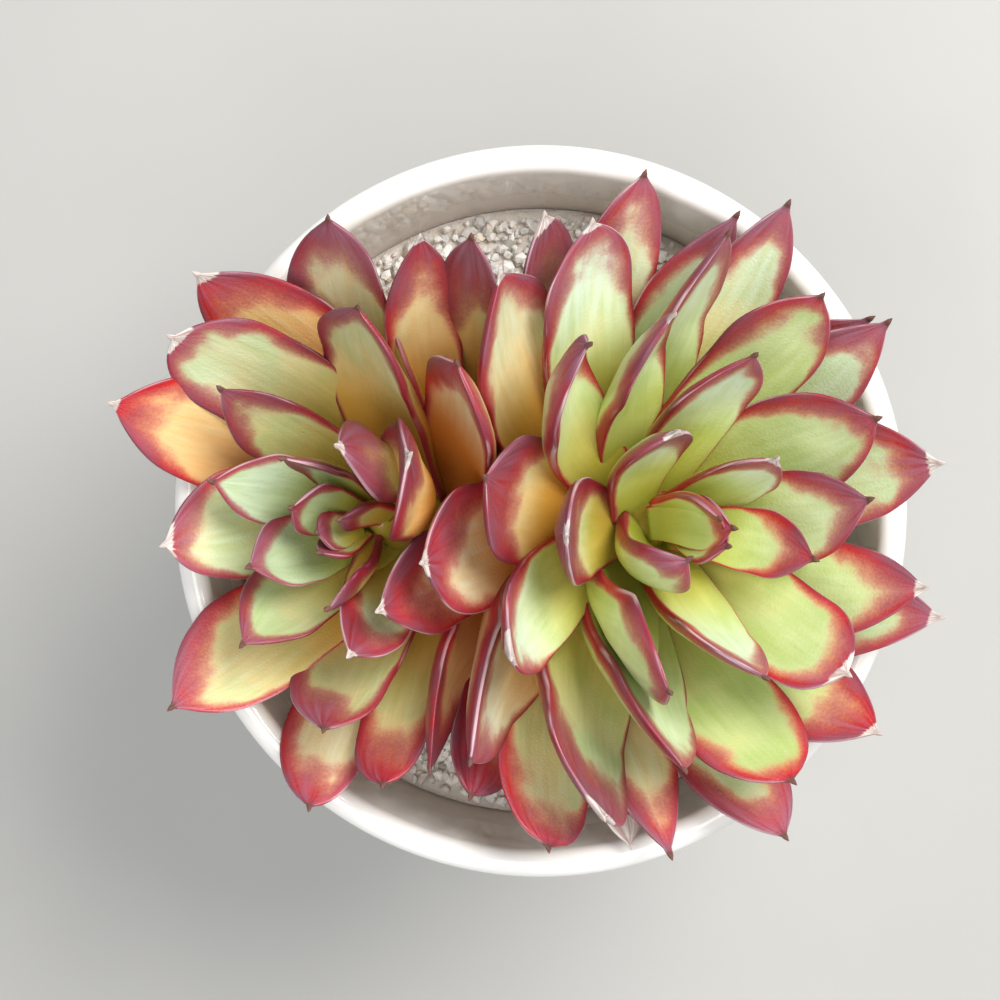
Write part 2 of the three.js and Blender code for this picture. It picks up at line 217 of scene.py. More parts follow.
# A mesh object of points with four-sided and three-sided faces
def meshFrom(name, points, quads, triangles=(), smooth=True):
    quads = np.reshape(quads, (-1, 4))
    triangles = np.reshape(triangles, (-1, 3))
    corners = np.concatenate((quads.ravel(), triangles.ravel())).astype(np.int32)
    totals = np.repeat((4, 3), (len(quads), len(triangles)))
    mesh = bpy.data.meshes.new(name)
    mesh.vertices.add(len(points))
    mesh.vertices.foreach_set("co", points.astype(np.float32).ravel())
    mesh.loops.add(len(corners))
    mesh.loops.foreach_set("vertex_index", corners)
    mesh.polygons.add(len(totals))
    mesh.polygons.foreach_set("loop_start", (np.cumsum(totals) - totals).astype(np.int32))
    mesh.polygons.foreach_set("use_smooth", np.full(len(totals), smooth))
    mesh.update(calc_edges=True)
    mesh.validate()
    piece = bpy.data.objects.new(name, mesh)
    bpy.context.scene.collection.objects.link(piece)
    return piece


# Stores a number, a vector or a colour for each point
def store(piece, name, values):
    values = np.asarray(values, np.float32)
    width = 1 if values.ndim == 1 else values.shape[1]
    kinds = {1: ("FLOAT", "value"), 3: ("FLOAT_VECTOR", "vector"), 4: ("FLOAT_COLOR", "color")}
    kind, key = kinds[width]
    layer = piece.data.attributes.new(name, kind, "POINT")
    layer.data.foreach_set(key, values.ravel())


# Gives a piece its paint, hides the imported part it stands for and hangs it under the root body
def dress(piece, material, node):
    piece.data.materials.clear()
    piece.data.materials.append(material)
    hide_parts(node)
    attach(piece, "root")


# Faces of a tube of rings, with a fan to a pole at each end
def tubeFaces(rings, sides):
    index = np.arange(rings * sides).reshape(rings, sides)
    after = np.roll(index, -1, 1)
    quads = np.stack((index[:-1], after[:-1], after[1:], index[1:]), -1).reshape(-1, 4)
    pole = np.full(sides, rings * sides)
    firstFan = np.stack((pole, after[0], index[0]), -1)
    lastFan = np.stack((pole + 1, index[-1], after[-1]), -1)
    return quads, np.concatenate((firstFan, lastFan))


# Points of a tube of rings, followed by its two poles
def tubePoints(rings, firstPole, lastPole):
    return np.concatenate((rings.reshape(-1, 3), np.atleast_2d(firstPole), np.atleast_2d(lastPole)))


# Vectors divided by their lengths
def unit(vectors):
    return vectors / np.linalg.norm(vectors, axis=-1, keepdims=True)


# 0 below start, 1 above end, smooth between
def smoothStep(value, start, end):
    part = np.clip((value - start) / (end - start), 0, 1)
    return part * part * (3 - 2 * part)


# Pot: a half section turned about Z, in mm
potShape = Values(
    rimRadius=50,
    height=88,
    baseRadius=35,
    wall=4,
    floor=6,
    footRounding=2.5,
    floorRounding=5,
    turns=160,
    cornerPoints=8,
    lipPoints=22,
    outsidePoints=16,
    insidePoints=14,
    discPoints=4,
    drainHoles=3, drainRadius=3.5, drainCircle=17, drainSides=40,
    drillHeights=(-6, 14),
)
lip = potShape.wall / 2
lean = potShape.height - lip - potShape.footRounding
taper = math.atan2(potShape.rimRadius - potShape.baseRadius, lean)


# The inner wall's radius at a height, by its even taper from the lip down
def innerRadius(height):
    drop = potShape.height - lip - height
    return potShape.rimRadius - potShape.wall - drop * math.tan(taper)


# Points of an arc in the section from one angle to another
def arc(centre, radius, start, end, count):
    angle = np.linspace(start, end, count)
    return np.stack((centre[0] + radius * np.cos(angle), centre[1] + radius * np.sin(angle)), -1)


# Points evenly between two places in the section, ends left out
def between(first, second, count):
    part = np.linspace(0, 1, count + 2)[1:-1, None]
    return np.asarray(first) * (1 - part) + np.asarray(second) * part


# A closed surface: section points carried round Z, the first and last being poles
def turned(name, section, turns):
    section = np.asarray(section, float)
    angle = np.linspace(0, fullTurn, turns, endpoint=False)
    radius = section[1:-1, :1]
    height = section[1:-1, 1:]
    rings = np.stack(np.broadcast_arrays(radius * np.cos(angle), radius * np.sin(angle), height), -1)
    points = tubePoints(rings, (0, 0, section[0, 1]), (0, 0, section[-1, 1]))
    return meshFrom(name, points * mm, *tubeFaces(len(rings), turns))


# Replaces a mesh by its finished form, with nothing live left on it
def applyModifiers(piece):
    graph = bpy.context.evaluated_depsgraph_get()
    graph.update()
    final = bpy.data.meshes.new_from_object(piece.evaluated_get(graph))
    piece.modifiers.clear()
    piece.data = final


# The pot's section: underside, foot, outer wall, rolled lip, inner wall and floor
def potSection():
    shape = potShape
    foot = shape.footRounding
    quarter = math.pi / 2
    corner = shape.cornerPoints
    outerFoot = arc((shape.baseRadius - foot, foot), foot, -quarter, -taper, corner)
    lipCentre = (shape.rimRadius - lip, shape.height - lip)
    outerLip = arc(lipCentre, lip, -taper, math.pi - taper, shape.lipPoints)
    floorTop = shape.floor + shape.floorRounding
    floorEdge = innerRadius(floorTop) - shape.floorRounding
    innerFloor = arc((floorEdge, floorTop), shape.floorRounding, -taper, -quarter, corner)
    return np.concatenate((
        ((0, 0),),
        between((0, 0), outerFoot[0], shape.discPoints),
        outerFoot,
        between(outerFoot[-1], outerLip[0], shape.outsidePoints),
        outerLip,
        between(outerLip[-1], innerFloor[0], shape.insidePoints),
        innerFloor,
        between(innerFloor[-1], (0, shape.floor), shape.discPoints),
        ((0, shape.floor),),
    ))


# A round hole through the floor, by a drill turned so that its corners miss the pot's edges
def drillHole(pot, angle):
    shape = potShape
    low, high = shape.drillHeights
    radius = shape.drainRadius
    drill = turned("drill", ((0, low), (radius, low), (radius, high), (0, high)), shape.drainSides)
    centre = np.array((math.cos(angle), math.sin(angle), 0)) * shape.drainCircle * mm
    aside = Matrix.Rotation(angle + math.pi / shape.drainSides, 4, "Z")
    drill.data.transform(Matrix.Translation(centre) @ aside)
    cut = pot.modifiers.new("drain", "BOOLEAN")
    cut.operation = "DIFFERENCE"
    cut.object = drill
    applyModifiers(pot)
    bpy.data.objects.remove(drill)


# The section turned, with drain holes spread evenly round its middle
def makePot():
    pot = turned("glazedPot", potSection(), potShape.turns)
    holes = potShape.drainHoles
    for index in range(holes):
        drillHole(pot, (index + 0.5) / holes * fullTurn)
    return pot


# Every look: colours as seen on a screen, 0 to 255, sizes and distances in mm
potLook = Values(
    glaze=((248, 247, 244), (242, 240, 236)), glazeClouds=14,
    dusty=((240, 234, 228), (228, 219, 212), 4, 4),
    specks=dict(top=(176, 160, 146), size=0.9, span=(0.66, 0.8), share=0.5),
    dustFull=16,  # under the rim
    dustEnd=5,  # under the rim
    dustShare=0.8,
    edgeFade=0.4,  # from the middle of the wall inward
    roughness=(0.06, 0.3, 0.09),  # by clouds, by dust, everywhere
    coat=0.4,
    ripple=dict(size=9, detail=1, distance=0.08, strength=0.5),
)


# White glaze, with a dusty film on the inner wall that thickens downward
def glazePaint():
    look = potLook
    top = potShape.height
    paint = Paint("whiteGlaze")
    x, y, z = paint.split(paint.place())
    radius = (x * x + y * y) ** 0.5
    wallMiddle = (z - (top - lip) * mm) * math.tan(taper) + (potShape.rimRadius - lip) * mm
    inside = (wallMiddle - radius).step(0, look.edgeFade * mm)
    dust = inside * (1 - z.step((top - look.dustFull) * mm, (top - look.dustEnd) * mm))
    clouds = paint.noise(look.glazeClouds, 3)
    dusty = paint.spots(paint.clouds(*look.dusty), **look.specks)
    colour = paint.mix(dust * look.dustShare, paint.mix(clouds, *look.glaze), dusty)
    roughness = blend(look.roughness, clouds, dust)
    ripple = paint.lumps(**look.ripple)
    return paint.finish(Base_Color=colour, Roughness=roughness, Coat_Weight=look.coat, Normal=ripple)


pot = makePot()
dress(pot, glazePaint(), "pot")
print("pot done,", len(pot.data.polygons), "faces")


# Potting mix under the grit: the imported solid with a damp, crumbly look
mixLook = Values(
    soil=((70, 52, 38), (38, 28, 22), 3, 4),
    flecks=dict(top=(150, 140, 125), size=1.1, span=(0.64, 0.7)),
    crumbs=dict(size=1.2, detail=4, distance=0.5),
    roughness=(0.75, 0.2, 2),
)


# Dark soil in clouds, with a few pale flecks, over raised crumbs
def mixPaint():
    look = mixLook
    paint = Paint("pottingMix")
    colour = paint.spots(paint.clouds(*look.soil), **look.flecks)
    roughness = paint.rough(*look.roughness)
    return paint.finish(Base_Color=colour, Roughness=roughness, Normal=paint.lumps(**look.crumbs))


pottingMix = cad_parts["potting_mix"]
pottingMix.data.materials.clear()
pottingMix.data.materials.append(mixPaint())
print("potting mix done")


# Where the two heads stand, mm: collar at the grit, bud in the middle of the youngest leaves
heads = Values(
    right=Values(collar=(4, 0, 74), bud=(16.5, -2.2, 101)),
    left=Values(collar=(-9, 0, 74), bud=(-22.5, -1.6, 100)),
)
stemShape = Values(
    bottom=60,
    radius=4.3,
    bend=2,  # mm under the collar, where the stem starts to lean
    sides=28,
    rings=14,
    atCollar=6.3, atBud=2.8,
    power=0.7,
    shown=0.95,  # the share of the stem up to the bud that is made
    budFrom=0.75,  # the bud's cone starts here and is full after budLength
    budLength=0.2,
    budTop=0.4,  # share of the radius
    budPoint=0.4,  # mm
)
stemLook = Values(
    inset=9,  # mm, as if this far from a margin
    toTip=30,  # mm, as if this far from a tip
    warm=0.3,
)


# Grit: a bed with loose grains on it, mm
gritShape = Values(
    bottom=66.3,
    bedTop=71.1,
    gap=0.3,
    spacing=1.22,
    rowSpread=1.16,
    jitter=0.45,
    radius=(0.6, 1.3),  # of a grain
    sizeSpread=(0.8, 1.1),
    flatness=(0.55, 0.95),
    lift=(71.3, 72.3),
    highest=73.1,
    roughness=0.28,
    bedTurns=96, bedRings=40,
    seed=5,
)
gritLook = Values(
    stones=(
        (252, 251, 248), (246, 242, 238), (238, 226, 212),
        (222, 222, 220), (176, 176, 166), (190, 168, 148),
    ),
    shares=(7, 7, 4, 4, 1, 1),
    brightness=(0.85, 1.12),
    clouds=(190, 178, 164),
    cloudSize=0.7, cloudShare=0.3,
    dust=dict(top=(240, 238, 234), size=0.3, span=(0.6, 0.75), share=0.5),
    grain=dict(size=0.25, detail=3, distance=0.06),
    roughness=(0.7, 0.25, 1.5),
    # bed colour: stone kept a little darker than the grains, as painted shade in the gaps between them
    bed=((236, 230, 222), (204, 194, 182), 1.4, 4),
    bedLumps=dict(size=1.3, detail=4, distance=0.5), bedRoughness=(0.8, 0.15, 1),
)


# An icosahedron of radius 1: three corners an edge apart make a face, turned round if it looks inward
def icosahedron():
    golden = (1 + math.sqrt(5)) / 2
    pair = np.array([(-1, golden), (1, golden), (-1, -golden), (1, -golden)])
    zero = np.zeros((4, 1))
    upright = np.hstack((pair[:, 1:], zero, pair[:, :1]))
    corners = unit(np.concatenate((np.hstack((pair, zero)), np.hstack((zero, pair)), upright)))
    distance = np.linalg.norm(corners[:, None] - corners[None], axis=-1)
    overAnEdge = 1.2
    near = (distance > 0) & (distance < overAnEdge)
    first, second, third = np.nonzero(near[:, :, None] & near[None, :, :] & near[:, None, :])
    faces = np.stack((first, second, third), -1)
    faces = faces[(first < second) & (second < third)]
    turn = np.einsum("ij,ij->i", np.cross(corners[faces[:, 0]], corners[faces[:, 1]]), corners[faces[:, 2]])
    faces[turn < 0] = faces[turn < 0][:, ::-1]
    return corners, faces


# A random turn for each grain, a matrix from a unit quaternion
def randomTurns(random, count):
    a, b, c, d = unit(random.normal(size=(count, 4))).T
    rows = (
        (1 - 2 * (c * c + d * d), 2 * (b * c - a * d), 2 * (b * d + a * c)),
        (2 * (b * c + a * d), 1 - 2 * (b * b + d * d), 2 * (c * d - a * b)),
        (2 * (b * d - a * c), 2 * (c * d + a * b), 1 - 2 * (b * b + c * c)),
    )
    return np.moveaxis(np.array(rows), -1, 0)


# The bed: a flat disc whose side follows the pot's wall
def makeGritBed():
    shape = gritShape
    low = innerRadius(shape.bottom) - shape.gap
    high = innerRadius(shape.bedTop) - shape.gap
    section = np.concatenate((
        ((0, shape.bottom), (low, shape.bottom), (high, shape.bedTop)),
        between((high, shape.bedTop), (0, shape.bedTop), shape.bedRings),
        ((0, shape.bedTop),),
    ))
    return turned("gritBed", section, shape.bedTurns)


# Places and sizes of grains: a jittered triangular grid inside the pot's wall and outside the stems
def gritPlaces(random):
    shape = gritShape
    reach = innerRadius(shape.bedTop)
    steps = np.arange(-reach, reach, shape.spacing)
    across, along = np.meshgrid(steps, steps * math.sqrt(0.75) * shape.rowSpread)
    across = across + (np.arange(len(steps)) % 2)[:, None] * shape.spacing / 2
    place = np.stack((across.ravel(), along.ravel()), -1)
    place = place + random.uniform(-1, 1, place.shape) * shape.jitter
    size = random.uniform(*shape.radius, len(place)) * random.uniform(*shape.sizeSpread, len(place))
    inside = np.linalg.norm(place, axis=1) < reach - shape.gap - size
    for head in heads.values():
        inside &= np.linalg.norm(place - np.array(head.collar[:2]), axis=1) > stemShape.radius + size
    return place[inside], size[inside]


# Grains: icosahedra pushed in and out, squashed, turned and lifted, each in the colour of one stone
def makeGritGrains():
    shape = gritShape
    random = np.random.default_rng(shape.seed)
    place, size = gritPlaces(random)
    count = len(place)
    corners, faces = icosahedron()
    push = 1 + random.uniform(-1, 1, (count, len(corners), 1)) * shape.roughness
    squash = random.uniform(*shape.flatness, (count, 1, 3))
    points = corners[None] * push * squash * size[:, None, None]
    points = np.einsum("nij,nkj->nki", randomTurns(random, count), points)
    points[..., :2] += place[:, None]
    points[..., 2] += random.uniform(*shape.lift, (count, 1))
    points[..., 2] -= np.maximum(points[..., 2].max(1) - shape.highest, 0)[:, None]
    allFaces = np.arange(count)[:, None, None] * len(corners) + faces[None]
    grains = meshFrom("gritGrains", points.reshape(-1, 3) * mm, (), allFaces, smooth=False)
    stones = np.array([tint(*stone) for stone in gritLook.stones])
    share = np.array(gritLook.shares)
    picked = random.choice(len(stones), count, p=share / share.sum())
    colour = stones[picked] * random.uniform(*gritLook.brightness, (count, 1))
    colour = np.concatenate((colour, np.ones((count, 1))), 1)
    store(grains, "stone", np.repeat(colour, len(corners), 0))
    return grains


# Stone whose colour each grain carries, clouded and dusted
def grainPaint():
    look = gritLook
    paint = Paint("crushedStone")
    clouds = paint.noise(look.cloudSize, 3) * look.cloudShare
    colour = paint.mix(clouds, paint.value("stone", "Color"), look.clouds)
    colour = paint.spots(colour, **look.dust)
    roughness = paint.rough(*look.roughness)
    return paint.finish(Base_Color=colour, Roughness=roughness, Normal=paint.lumps(**look.grain))


# The bed between the grains: clouded stone colour, a little darker than the grains as painted shade in the
# gaps, over raised lumps
def bedPaint():
    look = gritLook
    paint = Paint("gritBedStone")
    colour = paint.clouds(*look.bed)
    roughness = paint.rough(*look.bedRoughness)
    return paint.finish(Base_Color=colour, Roughness=roughness, Normal=paint.lumps(**look.bedLumps))


gritBed = makeGritBed()
dress(gritBed, bedPaint(), "top_grit")
gritGrains = makeGritGrains()
dress(gritGrains, grainPaint(), "top_grit")
print("grit done,", len(gritGrains.data.polygons), "faces")


# Leaves: mm, degrees, and shares of a leaf's length or width
leafShape = Values(
    rings=44,
    sides=36,
    crowding=0.85,  # rings stand closer together toward the tip
    faceAim=75,  # how far up the head's axis the faces look
    viewpoint=(-5.5, 1.5, 428),  # from where the tips are seen
    redSide=(-0.7, 0.7, 0),  # margins on this side of a leaf are the redder ones
    rootDepth=1.4,  # inside the stem's surface
    bow=18,  # of the root, backward
    hook=12,  # of the tip, forward
    widest=0.64,
    rootWidth=0.62, rootCurve=1.6,
    tipCurve=1.6,
    blunt=0.1, bluntCurve=1.8, bluntPower=0.35,
    tipHalf=0.45,
    turned=0.6,  # where a leaf's roll is complete
    turnCurve=1.5,
    belly=0.35, bellyRoot=0.75, bellyCurve=2.4,
    channel=0.09, channelRise=0.04,
    keel=0.55, keelStart=0.3, keelEnd=0.8,
    margin=0.28,  # half the margin's thickness
    marginFull=2,  # half width from which it is that thick
    marginCurve=10,
    wave=0.025,
    waves=(9, 23),  # radians along the leaf, slow and quick
    quickShare=0.6,
    waveRise=(0.2, 0.5), waveCurve=3,
    point=((0.4, 0.36), (0.8, 0.2), (1.1, 0.06)),  # beyond the tip, half width
    pointEnd=0.05,
    usualLength=40,
    warmStart=4,  # along X, from where leaves turn warmer leftward, partly their own amber and partly painted glow on the shaded left, unless their row says otherwise
    warmLength=90,
)
leafLook = Values(
    blush=1,  # how far the red comes in from the margins
    back=1,  # how red the back is
    pale=0.3,  # waxy bloom with painted sheen
    dry=0.05,  # withered tip
    dusk=0.35,  # how wine-dark the red is
    dull=0,  # how grey and dark the green is, partly painted shade
    end=1,  # how much further the red comes down from the tip
)
fieldNames = ("inset", "along", "toTip", "sunny", "backness", *leafLook, "warm")


# A leaf. at: place on the stem, 1 at the bud. tip: place in the photograph's view, mm. height and width: mm.
# more: swing, roll and bearing in degrees, and what differs from leafShape and leafLook
def row(at, tip, height, width, **more):
    return Values(at=at, tip=tip, height=height, width=width, **more)


# Youngest leaves first
rightLeaves = [
    row(0.93, (26, -2.3), 110.5, 7.4, swing=-4, bow=14, hook=5, bearing=165,
        blush=0.6, pale=0.1, dusk=0.05, end=2.6),
    row(0.97, (25.3, -4.8), 109.5, 6, swing=6, bow=12, hook=5, blush=0.6, dry=0.02, dusk=0.2, end=3),
    row(0.95, (24.2, -1.1), 112, 7.5, swing=10, bow=16, hook=14, bearing=110,
        blush=0.6, pale=0, dry=0, dusk=0.1, end=3, warm=0),
    row(0.88, (37, -6.5), 109, 9, swing=-8, blush=1.2, pale=0.25, dusk=0.05, dull=0.1),
    row(0.84, (32, 7), 112, 9, swing=18, roll=-15, pale=0.9, dry=0.6, dusk=0.5),
    row(0.86, (20, -6.6), 114, 9.6, swing=-12, bow=35, hook=42, bearing=178,
        blush=1.2, back=0.8, pale=0.6, dry=0, dusk=0.75, end=1.4),
    row(0.8, (18.5, 10.6), 116, 11, hook=10, roll=2, bearing=150, blush=1.5, pale=0.9, dry=0.6, dusk=0.7),
    row(0.76, (30.5, -22.5), 113, 12, roll=30, pale=1, dusk=0.3, warm=0.08),
    row(0.74, (3.5, -3.2), 118, 14, bow=10, hook=10,
        blush=4, pale=0.9, dry=0.5, dusk=0.7, end=2.2, warm=0.3),
    row(0.72, (44.5, 1.5), 109, 13, swing=14, blush=1.1, pale=0.5),
    row(0.7, (29, 21), 115, 12, swing=5, roll=-12, blush=1.1, pale=0.9),
    row(0.64, (17.5, -24.5), 117, 15, swing=-4, roll=46, bearing=245, pale=0.6, dusk=0.5),
    row(0.66, (41.5, -22), 107, 14, swing=-6, blunt=0.9,
        blush=0.8, pale=0.2, dry=0.5, dusk=0.1, dull=0.2, end=1.3, warm=0.12),
    row(0.6, (-4, -20), 120, 14, hook=22, roll=10, blush=1.2, pale=1, dry=1.3, dusk=0.2, end=1.4, warm=0.15),
    row(0.6, (6.5, 22.5), 119, 14, swing=-14, hook=30, roll=-32,
        blush=1.8, pale=0.9, dusk=0.4, end=1.5, warm=0.15),
    row(0.6, (-7.5, 4.5), 117, 17, swing=-10, hook=10, blush=4.2, pale=0.7, dusk=0.5, end=2.4, warm=0.6),
    row(0.5, (19.5, -35), 112, 17, swing=-4, roll=28, bearing=260, pale=0.6, dusk=0.5),
    row(0.56, (45.5, 12.5), 107, 15, swing=2, blunt=0.4, blush=1.05, pale=0.4, dusk=0.25, end=1.3),
    row(0.55, (18, 26.5), 115, 13, hook=20, roll=-38, blush=1.4, pale=0.8, dry=0.4, dusk=0.5, end=1.5),
    row(0.54, (38, 29), 109, 14, swing=8, blunt=0.6, dusk=0.4),
    row(0.45, (52, -10.5), 102, 14, swing=18, blunt=0.25, blush=1.1, dry=0.5, dusk=0.1),
    row(0.42, (34, -36.5), 103, 16, swing=4, blunt=0.9,
        blush=0.9, pale=0.15, dusk=0.15, dull=0.25, end=1.3, warm=0.18),
    row(0.42, (-16, -7), 114, 17, blunt=0.3, blush=2.8, pale=0.7, dry=0.6, dusk=0.3, end=1.8, warm=0.9),
    row(0.38, (8.5, -41.5), 109, 19, hook=25, roll=26, blunt=0.9,
        blush=1.3, pale=0.5, dry=0.5, dusk=0.6, end=4, warm=0.3),
    row(0.36, (-9.5, -34), 111, 19, roll=38, blush=1.8, pale=0.9, dusk=0.4, end=1.5, warm=0.8),
    row(0.36, (54, 6.5), 101, 16, swing=-3, blunt=0.25,
        blush=1.3, pale=0.6, dry=0.6, dusk=0.25, end=1.8, warm=0.2),
    row(0.34, (7, 39), 105, 16, swing=3, roll=-14, blunt=0.6,
        blush=1.2, pale=1.1, dry=0.4, dusk=0.5, end=1.5, warm=0.25),
    row(0.34, (25.5, 37.5), 107, 14, swing=8, roll=-38, blush=1.5, pale=0.9, dusk=0.45),
    row(0.34, (47, 25.5), 101, 13, swing=14, blunt=0.2, blush=1.2, pale=0.8, dusk=0.25, warm=0.1),
    row(0.32, (-5.5, 32), 111, 19, swing=-5, roll=-22, blush=1.5, pale=0.7, dry=0.5, dusk=0.4, warm=0.6),
    row(0.3, (33.5, 41.5), 102, 12, swing=12, blunt=0.3, blush=1.1, pale=0.8, dusk=0.3, end=1.3, warm=0.4),
    row(0.26, (45.5, -30), 98, 15, swing=8, blunt=0.5,
        blush=1.4, pale=0.2, dry=0.5, dusk=0.1, end=1.6, warm=0.2),
    row(0.24, (54, -14.5), 96, 14, swing=16, blunt=0.25, blush=1.4, pale=0.6, dry=0.5),
    row(0.24, (-22, -13.5), 112, 13.5, blush=3.6, pale=0.6, dry=0.7, dusk=0.15, end=2, warm=0.6),
    row(0.2, (33, -44), 97, 14, blunt=0.6, blush=1.3, pale=0.5, dusk=0.1, end=1.4, warm=0.4),
    row(0.2, (1, -45.5), 100, 14, swing=6, blunt=1.3, blush=1.1, pale=0.5, dusk=0, end=1.2, warm=0.5),
    row(0.16, (17.5, -46.5), 96, 12, blush=1.1, pale=0.5, dusk=0.1, warm=0.55),
    row(0.16, (0.5, 40), 104, 14, swing=2, roll=-25, blunt=0.5,
        blush=1.8, dry=0.8, dusk=0.9, end=3, warm=0.55),
    row(0.16, (44.5, 26), 95, 12, blush=1.4, pale=1, dusk=0.3),
    row(0.14, (14, 45.5), 98, 12, blunt=0.5, blush=1.1, pale=0.8, dusk=0.3, end=1.4, warm=0.45),
    row(0.14, (-15, -35), 104, 14, swing=16, roll=38, blush=2.2, dusk=0, end=2, warm=1),
    row(0.12, (26.5, 40), 96, 12, blush=1.4, pale=0.8, dusk=0.45),
    row(0.12, (-9.5, -38.5), 95, 12, blunt=1, blush=3, dusk=0.1, end=2, warm=0.6),
    row(0.1, (12, -45), 91, 8, blunt=1, blush=0.8, pale=0.6, dry=1.6, warm=0.6),
    row(0.3, (-5, 16), 92, 14),
]
leftLeaves = [
    row(1, (-30.3, -2.9), 108, 5.5, bow=10, dusk=0.8, dull=0.6, end=2, warm=0.2),
    row(0.96, (-33.8, 0.4), 108, 8, bow=10, blush=0.8, dusk=0.8, dull=0.7, end=1.5, warm=0.05),
    row(0.98, (-30, -5.6), 107, 5, bow=10, blush=1.2, dusk=0.6, dull=0.6, end=2, warm=0.2),
    row(0.92, (-27.2, -1.2), 108.5, 5, bow=12, hook=2, bearing=20,
        blush=1.6, back=0.6, dusk=0.4, dull=0.6, end=1.5, warm=0.3),
    row(0.9, (-35, 7), 109, 6, swing=4, roll=30, pale=0.5, dusk=0.9, dull=0.6, warm=0.1),
    row(0.86, (-18, 7.5), 116, 16, bow=-2, hook=-24, roll=34, bearing=70,
        blush=2.4, pale=0.5, dry=0.35, dusk=0.8, dull=0.5, end=1.5, warm=0.75),
    row(0.84, (-27.6, 8.8), 115, 11.5, hook=10, roll=45, bearing=60,
        blush=3, pale=0.1, dry=0.3, dusk=1.1, dull=0.6, warm=0.4),
    row(0.9, (-29, -13.2), 111, 5.5, roll=-40, bearing=215, blush=2.4, dusk=1, dull=0.6, warm=0.5),
    row(0.76, (-44.5, 4), 105, 10, blush=0.4, pale=0.6, dusk=0.8, dull=0.7, warm=0),
    row(0.8, (-39.5, -7.5), 107, 10, swing=6, blush=0.7, pale=0.4, dusk=0.9, dull=0.9, warm=0),
    row(0.68, (-40.5, -18), 105, 12, swing=18, blush=0.8, dusk=0.8, dull=0.6, warm=0.28),
    row(0.66, (-26, -19.5), 110, 10, roll=60, blush=2.4, pale=0.7, dry=0.4, dull=0.4, end=1.5, warm=0.35),
    row(0.6, (-25, 27.5), 113, 16.5, swing=-24, roll=20, blunt=0.2,
        blush=1.3, pale=0.4, dusk=0.8, dull=0.5, warm=0.52),
    row(0.56, (-43.5, 16.5), 106, 11, swing=-14, roll=5, blush=1.1, dusk=0.7, dull=0.5, warm=0.36),
    row(0.52, (-51, -4.5), 101, 15, swing=14, blunt=0.5,
        blush=0.9, pale=0.5, dry=0.6, dusk=0.5, dull=0.4, end=1.3, warm=0.4),
    row(0.48, (-50, -26.5), 100, 16, swing=8, blunt=0.3, blush=1.2, pale=0.4, dusk=0.1, end=1.4, warm=0.55),
    row(0.48, (-50, 23.5), 103, 16, swing=6, blunt=0.9,
        pale=0.5, dry=0.5, dusk=0.6, dull=0.4, end=1.2, warm=0.38),
    row(0.5, (-11.5, 20), 117, 15, swing=6, hook=5, roll=10,
        blush=2.2, pale=0.6, dusk=0.3, dull=0.3, warm=0.85),
    row(0.42, (-29.5, -29.5), 104, 15, swing=20, blunt=0.7,
        blush=1.1, dusk=0.6, dull=0.5, end=1.8, warm=0.48),
    row(0.4, (-29, 39.5), 104, 16, swing=-26, roll=8, blunt=0.6,
        blush=1.4, pale=0.5, dusk=0.7, dull=0.5, end=1.3, warm=0.52),
    row(0.3, (-16.5, 37), 106, 11, swing=-16, roll=-60, blunt=0.3,
        blush=1.6, pale=0.5, dry=0.4, dusk=0.4, dull=0.5, end=1.6, warm=0.65),
    row(0.28, (-58, 14.5), 101, 16, bow=8, blunt=0.35, dry=0.35, dusk=0, end=1.8, warm=0.95),
    row(0.28, (-21.5, -37), 102, 11, swing=14, blunt=1.3, blush=1.1, dusk=0.2, dull=0.5, end=2.4, warm=0.5),
    row(0.26, (-46.5, 32), 99, 16, swing=6, bow=12, blunt=0.4,
        blush=1.7, dry=0.6, dusk=0, end=1.4, warm=0.9),
    row(0.24, (-31.5, -40), 97, 13.5, swing=24, blunt=1, blush=1.1, pale=0.6, dusk=0.1, end=1.6, warm=0.75),
    row(0.2, (-9.5, 37), 105, 10, swing=-6, blunt=0.5, blush=2.2, dusk=0.9, dull=0.7, end=3, warm=0.5),
]


# The seen place carried along the line of sight to the tip's height
def tipPlace(leaf):
    eye = np.array(leafShape.viewpoint, float)
    near = (eye[2] - leaf.height) / (eye[2] - potShape.height)
    seen = np.array(leaf.tip, float)
    return np.array((*(eye[:2] + (seen - eye[:2]) * near), leaf.height))


# A head's collar and bud, and the way from one to the other
def headAxis(head):
    collar = np.array(head.collar, float)
    bud = np.array(head.bud, float)
    return collar, bud, unit(bud - collar)


# A stem's radius by a power curve, where at is 0 at the collar and 1 at the bud
def stemWidth(at):
    return stemShape.atBud + (stemShape.atCollar - stemShape.atBud) * (1 - at) ** stemShape.power


# Half the leaf's width along it: a sine to the widest place, then a power curve to the tip
def outline(leaf, along):
    shape = leafShape
    blunt = leaf.get("blunt", shape.blunt)
    rise = np.sin(math.pi / 2 * np.clip(along / shape.widest, 0, 1)) ** shape.rootCurve
    rise = shape.rootWidth + (1 - shape.rootWidth) * rise
    past = np.clip((along - shape.widest) / (1 - shape.widest), 0, 1)
    fall = (1 - past ** (shape.tipCurve + shape.bluntCurve * blunt)) ** (1 - shape.bluntPower * blunt)
    half = leaf.width / 2 * np.where(along < shape.widest, rise, fall)
    return np.maximum(half, shape.tipHalf)


# Where a leaf starts: just inside the stem's surface, at its bearing or else on the side of its tip
def leafRoot(leaf, head, tip):
    collar, bud, axis = headAxis(head)
    centre = collar + (bud - collar) * leaf.at
    away = (tip - centre) * (1, 1, 0)
    if "bearing" in leaf:
        bearing = math.radians(leaf.bearing)
        away = np.array((math.cos(bearing), math.sin(bearing), 0))
    away = unit(away - axis * (away @ axis))
    return centre + away * (stemWidth(leaf.at) - leafShape.rootDepth)


